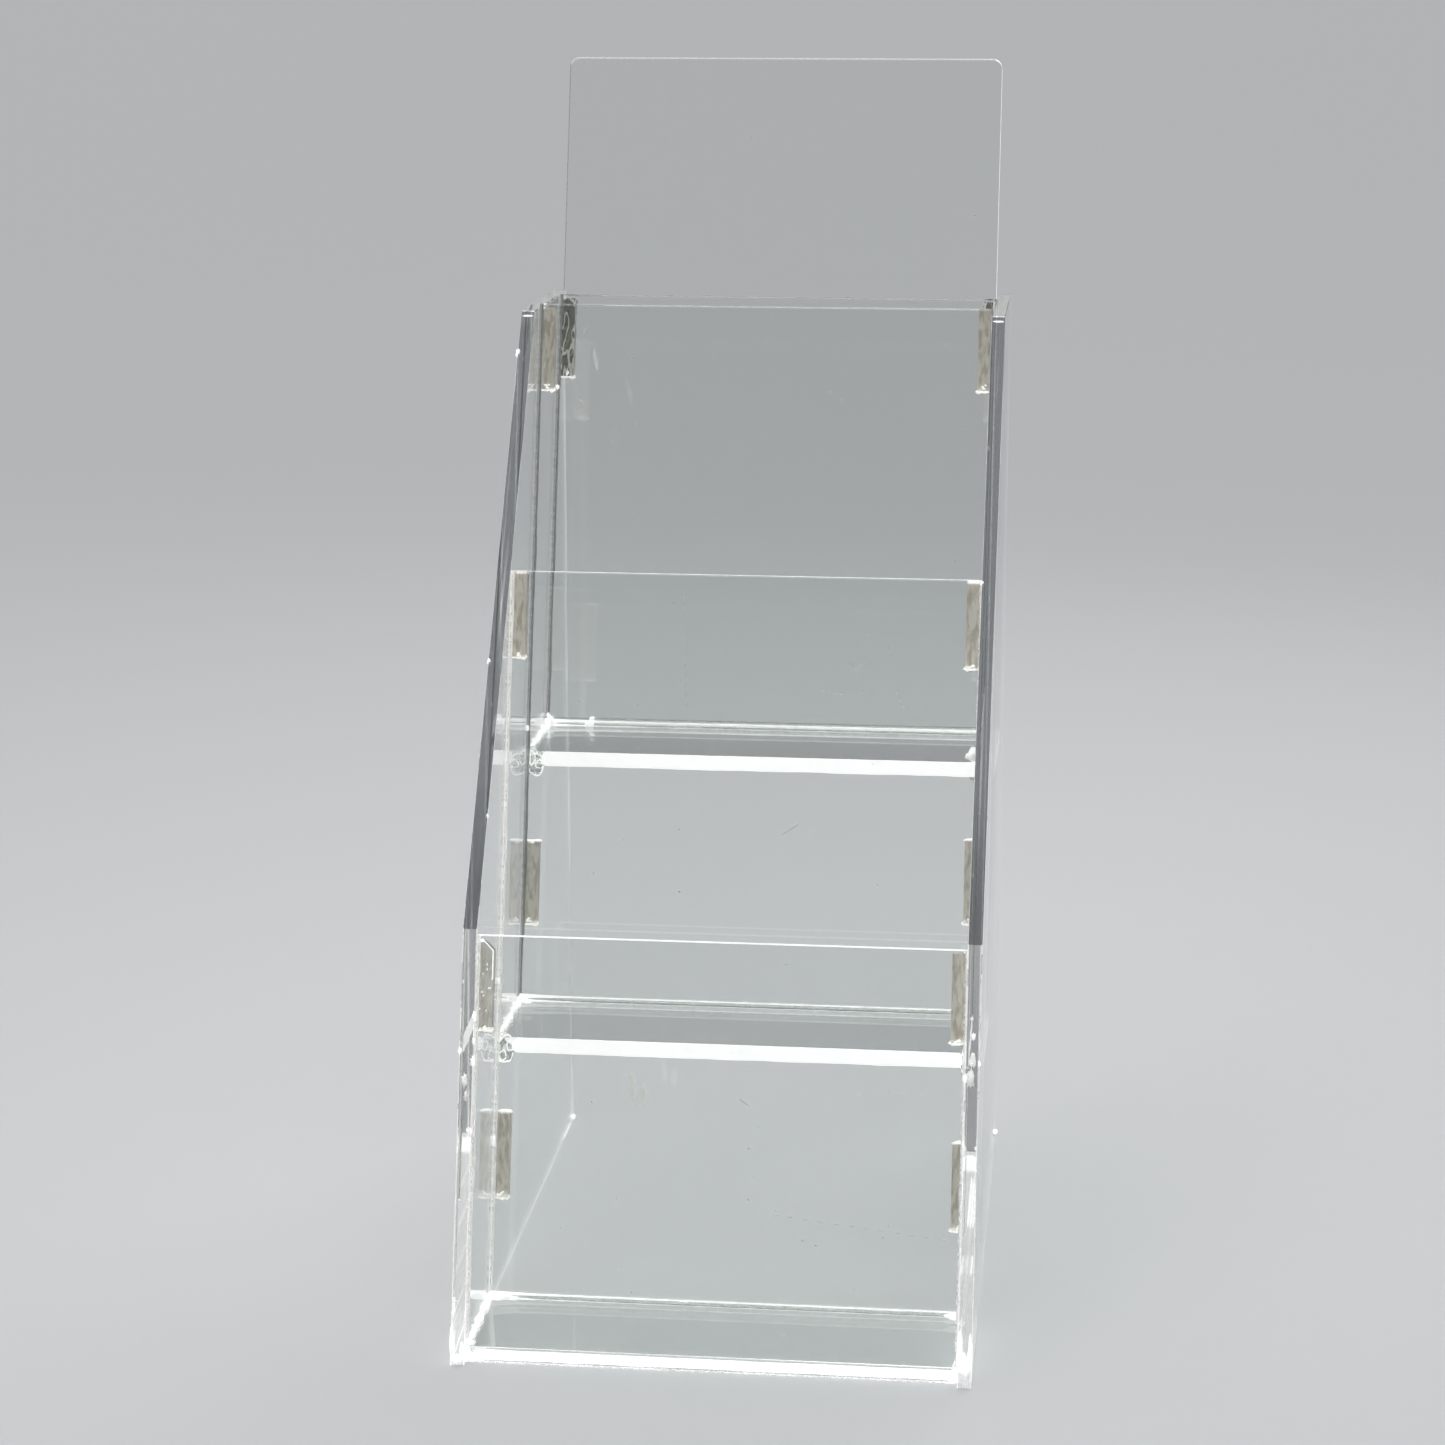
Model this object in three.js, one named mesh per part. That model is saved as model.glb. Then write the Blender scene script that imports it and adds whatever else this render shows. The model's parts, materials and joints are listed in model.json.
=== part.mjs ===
// Tabletop brochure rack: three stepped pockets of clear acrylic sheet, cemented together by hand,
// with a loose header sheet that drops into a slot behind the top pocket.
// Millimetres. +X is right as seen from the front, +Y is towards the back, +Z is up.
// The origin is the middle of the rack's footprint, header included, on the surface it stands on.
import * as THREE from "three";

// Sheet stock
const SHEET = 3;
const HEADER_SHEET = 2;
const JOINT_GAP = 0.2; // thickness left for the cement in every joint

// Pockets, sized for leaflets 99 mm wide
const INNER_WIDTH = 102;
const LEAN = THREE.MathUtils.degToRad(15);
const POCKET_DEPTH = 26; // clear distance between two leaning sheets, measured level
const SHELF_RISE = 53.2; // height of each shelf over the one below

// Side panels
const SIDE_DEPTH = 152;
const SIDE_HEIGHT = 207;
const KINK_HEIGHT = 87.5; // up to here the front edge follows the front sheet
const SIDE_TOP_LENGTH = 45.5;

// Leaning sheets, from the front to the back, with the length of each along its slope
const LEANING_SHEETS = [
  { name: "pocket_front", length: 88.5 },
  { name: "divider_lower", length: 156 },
  { name: "divider_upper", length: 156 },
  { name: "back_panel", length: 100 },
];
const SHELF_NAMES = ["shelf_lower", "shelf_middle", "shelf_upper"];

// Header sheet and the slot behind the back panel that holds it
const HEADER_WIDTH = 101.4;
const HEADER_LENGTH = 156;
const HEADER_CORNER_RADIUS = 2.2;
const HEADER_SLOT = 2.3;

// Square bars that brace the corners between the leaning sheets and the side panels.
// They are set by hand: top is the distance from the foot of the sheet to the bar's top end.
const BAR = 3;
const BAR_LENGTH = 18.5;
const LEFT = -1;
const RIGHT = 1;
const BARS = [
  { name: "bar_front_left", sheet: 0, side: LEFT, top: 87.1, chamfer: 1.8 },
  { name: "bar_front_right", sheet: 0, side: RIGHT, top: 87.7 },
  { name: "bar_lower_left", sheet: 1, side: LEFT, top: 155.9 },
  { name: "bar_lower_right", sheet: 1, side: RIGHT, top: 155.6 },
  { name: "bar_upper_left", sheet: 2, side: LEFT, top: 155.4 },
  { name: "bar_upper_right", sheet: 2, side: RIGHT, top: 156.4 },
  { name: "bar_slot_left", sheet: 3, side: LEFT, top: 99.7, behind: HEADER_SLOT },
  { name: "bar_slot_right", sheet: 3, side: RIGHT, top: 99.9, behind: HEADER_SLOT },
  { name: "bar_low_lower_left", sheet: 1, side: LEFT, top: 38.8 },
  { name: "bar_low_lower_right", sheet: 1, side: RIGHT, top: 35.6 },
  { name: "bar_low_upper_left", sheet: 2, side: LEFT, top: 34.7 },
  { name: "bar_low_upper_right", sheet: 2, side: RIGHT, top: 37.7 },
];

// Sizes that follow from the ones above
const SLOPE = Math.tan(LEAN);
const LEVEL_THICKNESS = SHEET / Math.cos(LEAN);
const PITCH = POCKET_DEPTH + LEVEL_THICKNESS;
const HALF_WIDTH = INNER_WIDTH / 2;
const HEADER_OFFSET = SHEET + (HEADER_SLOT - HEADER_SHEET) / 2;

const clearAcrylic = new THREE.MeshStandardMaterial({
  color: 0xeef3f0,
  roughness: 0.04,
  metalness: 0,
  transparent: true,
  opacity: 0.3,
});
const sawnAcrylic = new THREE.MeshStandardMaterial({
  color: 0xb4ada0,
  roughness: 0.55,
  metalness: 0,
  transparent: true,
  opacity: 0.7,
});

const rack = new THREE.Group();

function shelfTop(index) {
  return SHEET + index * SHELF_RISE;
}

// Height of what a leaning sheet stands on: the table for the front sheet, a shelf for the others.
function footHeight(sheet) {
  return sheet === 0 ? 0 : shelfTop(sheet - 1);
}

// Distance up the slope, from table level on the front face of the sheet, at which a square-cut
// sheet has its foot. Its back bottom corner, at the given offset behind that face, rests on top of height.
function footAlongSlope(height, offset) {
  return (height + JOINT_GAP + offset * Math.sin(LEAN)) / Math.cos(LEAN);
}

// Frame of a leaning sheet: x across, y through the sheet from its front face, z up its slope.
function leaningFrame(sheet) {
  const frame = new THREE.Group();
  frame.position.y = sheet * PITCH;
  frame.rotation.x = -LEAN;
  rack.add(frame);
  return frame;
}

// Extrudes an outline drawn in x and z through the given thickness, from y = 0 towards +y.
function uprightPlate(outline, thickness) {
  const geometry = new THREE.ExtrudeGeometry(outline, { depth: thickness, bevelEnabled: false });
  geometry.rotateX(Math.PI / 2);
  geometry.translate(0, thickness, 0);
  return geometry;
}

function addBox(parent, name, low, high, material) {
  const size = high.clone().sub(low);
  const mesh = new THREE.Mesh(new THREE.BoxGeometry(size.x, size.y, size.z), material);
  mesh.name = name;
  mesh.position.copy(low).add(high).multiplyScalar(0.5);
  parent.add(mesh);
}

// Side panel: the front edge leans with the front sheet up to the kink, then slopes back to the top.
function sideGeometry() {
  const outline = new THREE.Shape();
  outline.moveTo(0, 0);
  outline.lineTo(SIDE_DEPTH, 0);
  outline.lineTo(SIDE_DEPTH, SIDE_HEIGHT);
  outline.lineTo(SIDE_DEPTH - SIDE_TOP_LENGTH, SIDE_HEIGHT);
  outline.lineTo(KINK_HEIGHT * SLOPE, KINK_HEIGHT);
  outline.closePath();
  const geometry = new THREE.ExtrudeGeometry(outline, { depth: SHEET, bevelEnabled: false });
  const backward = new THREE.Vector3(0, 1, 0);
  const upward = new THREE.Vector3(0, 0, 1);
  const outward = new THREE.Vector3(1, 0, 0);
  return geometry.applyMatrix4(new THREE.Matrix4().makeBasis(backward, upward, outward));
}

function addSides() {
  const left = new THREE.Mesh(sideGeometry(), clearAcrylic);
  left.name = "side_left";
  left.position.x = -HALF_WIDTH - SHEET;
  const right = new THREE.Mesh(sideGeometry(), clearAcrylic);
  right.name = "side_right";
  right.position.x = HALF_WIDTH;
  rack.add(left, right);
}

function addLeaningSheet(index, { name, length }) {
  const foot = footAlongSlope(footHeight(index), SHEET);
  const low = new THREE.Vector3(-HALF_WIDTH + JOINT_GAP, 0, foot);
  const high = new THREE.Vector3(HALF_WIDTH - JOINT_GAP, SHEET, foot + length);
  addBox(leaningFrame(index), name, low, high, clearAcrylic);
}

// Shelf: butts against the back of the sheet in front of it and carries the next sheet on its rear
// edge. The top shelf runs on far enough to carry the header too.
function addShelf(index, name) {
  const top = shelfTop(index);
  const backOfFrontSheet = index * PITCH + LEVEL_THICKNESS + top * SLOPE;
  const isTop = index === SHELF_NAMES.length - 1;
  const headerLedge = isTop ? (HEADER_SLOT + BAR) / Math.cos(LEAN) : 0;
  const back = backOfFrontSheet + PITCH + headerLedge;
  const low = new THREE.Vector3(-HALF_WIDTH + JOINT_GAP, backOfFrontSheet + JOINT_GAP, top - SHEET);
  const high = new THREE.Vector3(HALF_WIDTH - JOINT_GAP, back, top);
  addBox(rack, name, low, high, clearAcrylic);
}

function addBar({ name, sheet, side, top, behind = 0, chamfer = 0 }) {
  const outer = HALF_WIDTH - JOINT_GAP;
  const inner = outer - BAR;
  const end = footAlongSlope(footHeight(sheet), SHEET) + top;
  const outline = new THREE.Shape();
  outline.moveTo(side * outer, end - BAR_LENGTH);
  outline.lineTo(side * outer, end);
  outline.lineTo(side * (inner + chamfer), end);
  if (chamfer > 0) {
    outline.lineTo(side * inner, end - chamfer);
  }
  outline.lineTo(side * inner, end - BAR_LENGTH);
  outline.closePath();
  const bar = new THREE.Mesh(uprightPlate(outline, BAR), sawnAcrylic);
  bar.name = name;
  bar.position.y = SHEET + behind + JOINT_GAP;
  leaningFrame(sheet).add(bar);
}

// Header: a thinner sheet with its two top corners rounded, loose in the slot behind the back panel.
function addHeader() {
  const half = HEADER_WIDTH / 2;
  const r = HEADER_CORNER_RADIUS;
  const outline = new THREE.Shape();
  outline.moveTo(-half, 0);
  outline.lineTo(half, 0);
  outline.lineTo(half, HEADER_LENGTH - r);
  outline.absarc(half - r, HEADER_LENGTH - r, r, 0, Math.PI / 2, false);
  outline.lineTo(-half + r, HEADER_LENGTH);
  outline.absarc(-half + r, HEADER_LENGTH - r, r, Math.PI / 2, Math.PI, false);
  outline.closePath();
  const header = new THREE.Mesh(uprightPlate(outline, HEADER_SHEET), clearAcrylic);
  header.name = "header_sheet";
  const topShelf = shelfTop(SHELF_NAMES.length - 1);
  header.position.y = HEADER_OFFSET;
  header.position.z = footAlongSlope(topShelf, HEADER_OFFSET + HEADER_SHEET);
  leaningFrame(LEANING_SHEETS.length - 1).add(header);
}

addSides();
LEANING_SHEETS.forEach((sheet, index) => addLeaningSheet(index, sheet));
SHELF_NAMES.forEach((name, index) => addShelf(index, name));
BARS.forEach(addBar);
addHeader();

// The header's top edge reaches furthest back, so it sets the depth that the origin is centred on.
rack.position.y = -new THREE.Box3().setFromObject(rack).max.y / 2;

export default rack;
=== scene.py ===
import json
import math
import random

import bmesh
import bpy
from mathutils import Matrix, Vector, noise


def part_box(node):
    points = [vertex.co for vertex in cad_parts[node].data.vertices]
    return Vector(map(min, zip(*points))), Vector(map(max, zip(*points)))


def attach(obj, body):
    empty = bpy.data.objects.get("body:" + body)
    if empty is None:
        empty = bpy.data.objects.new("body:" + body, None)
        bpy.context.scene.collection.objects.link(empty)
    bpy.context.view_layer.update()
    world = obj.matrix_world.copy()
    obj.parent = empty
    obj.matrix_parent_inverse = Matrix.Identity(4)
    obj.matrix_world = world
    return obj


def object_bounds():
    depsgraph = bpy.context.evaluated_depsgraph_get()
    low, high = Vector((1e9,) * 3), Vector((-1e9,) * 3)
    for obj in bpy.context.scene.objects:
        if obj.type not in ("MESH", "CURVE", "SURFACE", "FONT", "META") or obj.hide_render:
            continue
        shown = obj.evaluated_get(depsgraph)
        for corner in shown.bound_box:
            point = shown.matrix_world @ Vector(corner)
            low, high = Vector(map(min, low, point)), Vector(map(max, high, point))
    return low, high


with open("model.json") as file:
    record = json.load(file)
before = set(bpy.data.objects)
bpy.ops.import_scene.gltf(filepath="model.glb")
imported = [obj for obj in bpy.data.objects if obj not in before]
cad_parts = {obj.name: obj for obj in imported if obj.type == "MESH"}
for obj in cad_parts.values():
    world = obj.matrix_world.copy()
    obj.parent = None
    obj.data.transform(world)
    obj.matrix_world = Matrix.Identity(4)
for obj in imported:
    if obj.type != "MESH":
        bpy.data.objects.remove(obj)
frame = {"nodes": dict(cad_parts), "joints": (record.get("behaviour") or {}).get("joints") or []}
CAD_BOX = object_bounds()
scene = bpy.context.scene

MM = 0.001
X = Vector((1, 0, 0))
Y = Vector((0, 1, 0))
Z = Vector((0, 0, 1))

RACK = "rack"
HEADER = "header"
SHELVES = ["shelf_lower", "shelf_middle", "shelf_upper"]
LEANING = ["pocket_front", "divider_lower", "divider_upper", "back_panel"]

# Directions of the leaning sheets: the header's joint runs up their slope.
UP_SLOPE = Vector(frame["joints"][0]["axis"])
THROUGH = UP_SLOPE.cross(X)  # from a leaning sheet's front face to its back face


# ---------------------------------------------------------------- where things are

def inner_face(side):
    """The x of a side panel's inner face: side is -1 on the left and 1 on the right."""
    if side < 0:
        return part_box("side_left")[1].x
    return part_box("side_right")[0].x


def side_name(side):
    return "left" if side < 0 else "right"


class LeaningSheet:
    """Foot, length and thickness of a leaning sheet, worked out from its box."""

    def __init__(self, node):
        low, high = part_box(node)
        sine, cosine = UP_SLOPE.y, UP_SLOPE.z
        rise, depth = high.z - low.z, high.y - low.y
        spread = cosine * cosine - sine * sine
        self.length = (rise * cosine - depth * sine) / spread
        self.thickness = (depth * cosine - rise * sine) / spread
        self.half_width = high.x
        self.foot = Vector((0, low.y, low.z + self.thickness * sine))

    def point(self, across, through, along):
        """A point across from the middle, through from the front face and along from the foot."""
        return self.foot + X * across + THROUGH * through + UP_SLOPE * along

    def y_at(self, height, through=0.0):
        """The y of the sheet's front face, or of a layer behind it, at a height."""
        start = self.foot + THROUGH * through
        return start.y + (height - start.z) * UP_SLOPE.y / UP_SLOPE.z


# ---------------------------------------------------------------- camera, light and floor

CAMERA_AZIMUTH = math.radians(6.28)
CAMERA_ELEVATION = math.radians(13.13)
CAMERA_DISTANCE = 0.698
CAMERA_LENS = 85.04
SENSOR_WIDTH = 36
AIM_HEIGHT = 0.507  # of the rack's height
AIM_DEPTH = 0.1645  # of the rack's depth


def add_camera():
    low, high = CAD_BOX
    aim = Vector((0, low[1] + AIM_DEPTH * (high[1] - low[1]), AIM_HEIGHT * high[2]))
    level = math.cos(CAMERA_ELEVATION)
    away = Vector((
        math.sin(CAMERA_AZIMUTH) * level,
        -math.cos(CAMERA_AZIMUTH) * level,
        math.sin(CAMERA_ELEVATION),
    ))
    data = bpy.data.cameras.new("camera")
    data.lens = CAMERA_LENS
    data.sensor_width = SENSOR_WIDTH
    data.clip_start = 0.01
    camera = bpy.data.objects.new("camera", data)
    camera.location = aim + away * CAMERA_DISTANCE
    camera.rotation_euler = (-away).to_track_quat("-Z", "Y").to_euler()
    scene.collection.objects.link(camera)
    scene.camera = camera


SKY_POWER = 2.0
SKY_ANGLE = 100
SKY_TILT = (-12, -8, 0)
SOFTBOX_SPREAD = 120
# Each softbox's name, place, aim, size and power.
SOFTBOXES = [
    ("overhead", (-0.1, 0.0, 0.85), (0, 0, 0.1), (0.6, 0.6), 0.45),
    ("front_left", (-0.55, -0.75, 0.85), (0, 0, 0.12), (0.4, 0.4), 0.7),
    ("behind", (0.25, 0.75, 0.75), (0, 0, 0.15), (0.7, 0.4), 0.7),
]
FLOOR_REACH = 30.0
FLOOR_GAP = 0.1 * MM  # keeps the floor out of the undersides that stand on it
FLOOR_COLOUR = (0.62, 0.63, 0.64)
ROOM_COLOUR = (0.10, 0.105, 0.11)


def add_softbox(name, place, aim, size, power):
    data = bpy.data.lights.new(name, "AREA")
    data.shape = "RECTANGLE"
    data.size, data.size_y = size
    data.energy = power
    data.spread = math.radians(SOFTBOX_SPREAD)
    lamp = bpy.data.objects.new(name, data)
    lamp.location = place
    lamp.rotation_euler = (Vector(aim) - Vector(place)).to_track_quat("-Z", "Y").to_euler()
    scene.collection.objects.link(lamp)


def add_studio():
    floor_mesh = bpy.data.meshes.new("floor")
    reach = FLOOR_REACH
    corners = [(-reach, -reach, 0), (reach, -reach, 0), (reach, reach, 0), (-reach, reach, 0)]
    floor_mesh.from_pydata(corners, [], [(0, 1, 2, 3)])
    floor = bpy.data.objects.new("floor", floor_mesh)
    floor.location.z = -FLOOR_GAP
    scene.collection.objects.link(floor)
    paint = new_material("floor_paint", FLOOR_COLOUR, 0.7)[0]
    paint.node_tree.nodes["Principled BSDF"].inputs["Specular IOR Level"].default_value = 0.2
    floor_mesh.materials.append(paint)

    sky = bpy.data.lights.new("sky", "SUN")
    sky.energy = SKY_POWER
    sky.angle = math.radians(SKY_ANGLE)
    lamp = bpy.data.objects.new("sky", sky)
    lamp.rotation_euler = [math.radians(angle) for angle in SKY_TILT]
    scene.collection.objects.link(lamp)
    for softbox in SOFTBOXES:
        add_softbox(*softbox)

    world = bpy.data.worlds.new("world")
    world.use_nodes = True
    background = world.node_tree.nodes["Background"]
    background.inputs["Color"].default_value = (*ROOM_COLOUR, 1)
    background.inputs["Strength"].default_value = 1.0
    scene.world = world


# ---------------------------------------------------------------- materials

SHEET_LEAN = math.asin(UP_SLOPE.y)
ACRYLIC_IOR = 1.49
CLEAR = (0.975, 0.985, 0.98)
# Colour of the painted shade on the darkened edges: a dark tint standing in for the dark seen
# through them.
EDGE_SHADE_COLOUR = (0.05, 0.055, 0.06)


def new_material(name, colour, roughness, transmission=0.0):
    """A material with one Principled shader. Returns it with its shader, nodes and links."""
    material = bpy.data.materials.new(name)
    material.use_nodes = True
    nodes, links = material.node_tree.nodes, material.node_tree.links
    shader = nodes["Principled BSDF"]
    shader.inputs["Base Color"].default_value = (*colour, 1)
    shader.inputs["Roughness"].default_value = roughness
    shader.inputs["IOR"].default_value = ACRYLIC_IOR
    shader.inputs["Transmission Weight"].default_value = transmission
    shader.inputs["Emission Color"].default_value = (1, 1, 1, 1)
    return material, shader, nodes, links


def let_lamps_through(nodes, links, shader, tint):
    """Clear acrylic casts only a faint shadow."""
    clear = nodes.new("ShaderNodeBsdfTransparent")
    clear.inputs["Color"].default_value = (*tint, 1)
    path = nodes.new("ShaderNodeLightPath")
    mix = nodes.new("ShaderNodeMixShader")
    links.new(path.outputs["Is Shadow Ray"], mix.inputs[0])
    links.new(shader.outputs[0], mix.inputs[1])
    links.new(clear.outputs[0], mix.inputs[2])
    links.new(mix.outputs[0], nodes["Material Output"].inputs["Surface"])


def math_node(nodes, links, operation, first, second=None, clamp=False):
    node = nodes.new("ShaderNodeMath")
    node.operation = operation
    node.use_clamp = clamp
    for socket, value in zip(node.inputs, (first, second)):
        if value is None:
            continue
        if isinstance(value, (int, float)):
            socket.default_value = value
        else:
            links.new(value, socket)
    return node.outputs[0]


# How well a face has to agree with a direction, as the cosine of the angle between them.
FLAT_FACES = 0.97
WITH_BEVELS = 0.35


def facing(nodes, links, direction, both_ways, limit):
    """1 on faces that look along direction, to within the limit, and 0 on the others."""
    place = nodes.new("ShaderNodeTexCoord")
    dot = nodes.new("ShaderNodeVectorMath")
    dot.operation = "DOT_PRODUCT"
    links.new(place.outputs["Normal"], dot.inputs[0])
    dot.inputs[1].default_value = direction
    value = dot.outputs["Value"]
    if both_ways:
        value = math_node(nodes, links, "ABSOLUTE", value)
    else:
        geometry = nodes.new("ShaderNodeNewGeometry")
        turn = math_node(nodes, links, "MULTIPLY_ADD", geometry.outputs["Backfacing"], -2.0)
        turn.node.inputs[2].default_value = 1.0
        value = math_node(nodes, links, "MULTIPLY", value, turn)
    return math_node(nodes, links, "GREATER_THAN", value, limit)


def noise_node(nodes, links, scale, detail=2.0, roughness=0.5, stretch=(1, 1, 1), lean=0.0):
    """Noise in the object's own space, stretched along axes that lean back with the sheets."""
    place = nodes.new("ShaderNodeTexCoord")
    mapping = nodes.new("ShaderNodeMapping")
    mapping.inputs["Rotation"].default_value = (lean, 0, 0)
    mapping.inputs["Scale"].default_value = stretch
    links.new(place.outputs["Object"], mapping.inputs["Vector"])
    texture = nodes.new("ShaderNodeTexNoise")
    texture.inputs["Scale"].default_value = scale
    texture.inputs["Detail"].default_value = detail
    texture.inputs["Roughness"].default_value = roughness
    links.new(mapping.outputs["Vector"], texture.inputs["Vector"])
    return texture.outputs["Fac"]


# Changes with height: the two heights in metres that a change lies between, and the share below
# and above them. They make the painted glow and the frosting weaker up the chipped rims and low on
# the side panels' rear edges.
RIM_FADE = (0.12, 0.17, 1.0, 0.3)
REAR_FADE = (0.045, 0.075, 0.3, 1.0)


def height_fade(nodes, links, fade):
    """A share that changes with height, as one of the changes above says."""
    place = nodes.new("ShaderNodeTexCoord")
    height = nodes.new("ShaderNodeSeparateXYZ")
    links.new(place.outputs["Object"], height.inputs[0])
    node = nodes.new("ShaderNodeMapRange")
    links.new(height.outputs["Z"], node.inputs["Value"])
    for socket, value in zip(("From Min", "From Max", "To Min", "To Max"), fade):
        node.inputs[socket].default_value = value
    return node.outputs["Result"]


# Chipped corners: how far a corner's bevel turns from the faces beside it, as the cosines with x
# and y, the size of the chips and how much of the corner stays whole between them.
CHIPPED_ACROSS = 0.3
CHIPPED_THROUGH = 0.2
CHIP_NOISE = (90, 3.0, 0.6)
CHIP_LIMIT = 0.47
CHIP_REST = 0.25
CHIP_MILK = 0.8
# Saw marks, and the least roughness of a sawn edge and what the marks add to it.
SAW_NOISE = (900, 3.0, 0.6)
SAWN_ROUGHNESS = (0.15, 0.25)
# How handling has roughened the polished faces.
HANDLING_NOISE = (60, 4.0, 0.65)
HANDLED_ROUGHNESS = 0.03
# The patches also make the painted glow on sawn edges patchy.
PATCH_NOISE = (300, 3.0, 0.5)  # paler and darker patches along a sawn edge
# Streaks in the painted shade along the darkened edges, and the share that is painted dark even
# between them.
STREAK_NOISE = (1100, 2.0, 0.5, (1, 0.02, 0.02))
STREAK_FLOOR = 0.62


def sheet_acrylic(name, sawn, shaded_edges=(), rim=0.0, grain=(1, 1, 1), contrast=1.0):
    """Clear sheet with polished faces. sawn lists the cut edges left frosted by the saw: the
    direction of each, whether it counts both ways, how clear it is, how much painted glow
    (emission) it gets, standing in for light carried inside the sheet, and, if it changes with
    height, how. The next argument lists the edges painted darker, as painted shade standing in for
    the dark seen
    through them: the direction of each, whether it counts both ways, how dark it is and, unless
    only flat faces count, the limit. rim is the painted glow (emission) of the chipped corners
    along the edges, grain stretches the saw marks and contrast is how much they show."""
    material, shader, nodes, links = new_material(name, CLEAR, 0.02, 1.0)

    def largest(first, second):
        return math_node(nodes, links, "MAXIMUM", first, second)

    def scaled(mask, amount):
        return math_node(nodes, links, "MULTIPLY", mask, amount)

    frosted, cloud, glow = 0.0, 0.0, 0.0
    for direction, both_ways, clearness, light, *fade in sawn:
        mask = facing(nodes, links, direction, both_ways, WITH_BEVELS)
        if fade:
            mask = scaled(mask, height_fade(nodes, links, *fade))
        frosted = largest(mask, frosted)
        cloud = largest(scaled(mask, 1 - clearness), cloud)
        glow = largest(scaled(mask, light), glow)
    if rim:
        flanks = facing(nodes, links, X, True, FLAT_FACES)
        edges = facing(nodes, links, X, True, CHIPPED_ACROSS)
        edges = math_node(nodes, links, "SUBTRACT", edges, flanks)
        edges = scaled(edges, facing(nodes, links, Y, True, CHIPPED_THROUGH))
        breaks = noise_node(nodes, links, *CHIP_NOISE)
        breaks = math_node(nodes, links, "GREATER_THAN", breaks, CHIP_LIMIT)
        broken = math_node(nodes, links, "MULTIPLY_ADD", breaks, 1 - CHIP_REST)
        broken.node.inputs[2].default_value = CHIP_REST
        chipped = scaled(scaled(edges, broken), height_fade(nodes, links, RIM_FADE))
        frosted = largest(chipped, frosted)
        cloud = largest(scaled(chipped, CHIP_MILK), cloud)
        glow = largest(scaled(chipped, rim), glow)
    marks = noise_node(nodes, links, *SAW_NOISE, grain)
    least, more = SAWN_ROUGHNESS
    rough_edge = math_node(nodes, links, "MULTIPLY_ADD", marks, more)
    rough_edge.node.inputs[2].default_value = least
    handling = noise_node(nodes, links, *HANDLING_NOISE)
    roughness = nodes.new("ShaderNodeMix")
    roughness.data_type = "FLOAT"
    links.new(frosted, roughness.inputs["Factor"])
    links.new(scaled(handling, HANDLED_ROUGHNESS), roughness.inputs["A"])
    links.new(rough_edge, roughness.inputs["B"])
    links.new(roughness.outputs["Result"], shader.inputs["Roughness"])
    patches = noise_node(nodes, links, *PATCH_NOISE, grain)
    mottle = math_node(nodes, links, "MULTIPLY_ADD", patches, contrast)
    mottle.node.inputs[2].default_value = 1 - contrast / 2
    clear = math_node(nodes, links, "SUBTRACT", 1.0, scaled(cloud, mottle), clamp=True)
    links.new(clear, shader.inputs["Transmission Weight"])
    # Painted glow: emission on the frosted edges and chipped corners, standing in for light carried
    # inside the sheet.
    links.new(scaled(glow, mottle), shader.inputs["Emission Strength"])
    # Painted shade: the listed edges are tinted towards the dark shade colour, in streaks.
    if shaded_edges:
        dark = 0.0
        for direction, both_ways, depth, *limit in shaded_edges:
            mask = facing(nodes, links, direction, both_ways, *limit or [FLAT_FACES])
            dark = largest(scaled(mask, depth), dark)
        streaks = noise_node(nodes, links, *STREAK_NOISE)
        streaks = math_node(nodes, links, "ADD", streaks, STREAK_FLOOR, clamp=True)
        tint = nodes.new("ShaderNodeMix")
        tint.data_type = "RGBA"
        links.new(scaled(dark, streaks), tint.inputs["Factor"])
        tint.inputs["A"].default_value = (*CLEAR, 1)
        tint.inputs["B"].default_value = (*EDGE_SHADE_COLOUR, 1)
        links.new(tint.outputs["Result"], shader.inputs["Base Color"])
    let_lamps_through(nodes, links, shader, (0.93, 0.94, 0.935))
    return material


def add_bump(nodes, links, shader, height, strength, depth):
    """Bumps the surface by a height texture; depth is in millimetres."""
    bump = nodes.new("ShaderNodeBump")
    bump.inputs["Strength"].default_value = strength
    bump.inputs["Distance"].default_value = depth * MM
    links.new(height, bump.inputs["Height"])
    links.new(bump.outputs["Normal"], shader.inputs["Normal"])


def two_tones(nodes, first, second):
    """A ramp between two tones, each a position and a colour."""
    ramp = nodes.new("ShaderNodeValToRGB")
    for element, (position, colour) in zip(ramp.color_ramp.elements, (first, second)):
        element.position = position
        element.color = (*colour, 1)
    return ramp


WORM_COLOUR = (0.9, 0.89, 0.86)
WORM_CLEARNESS = 0.25


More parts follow.
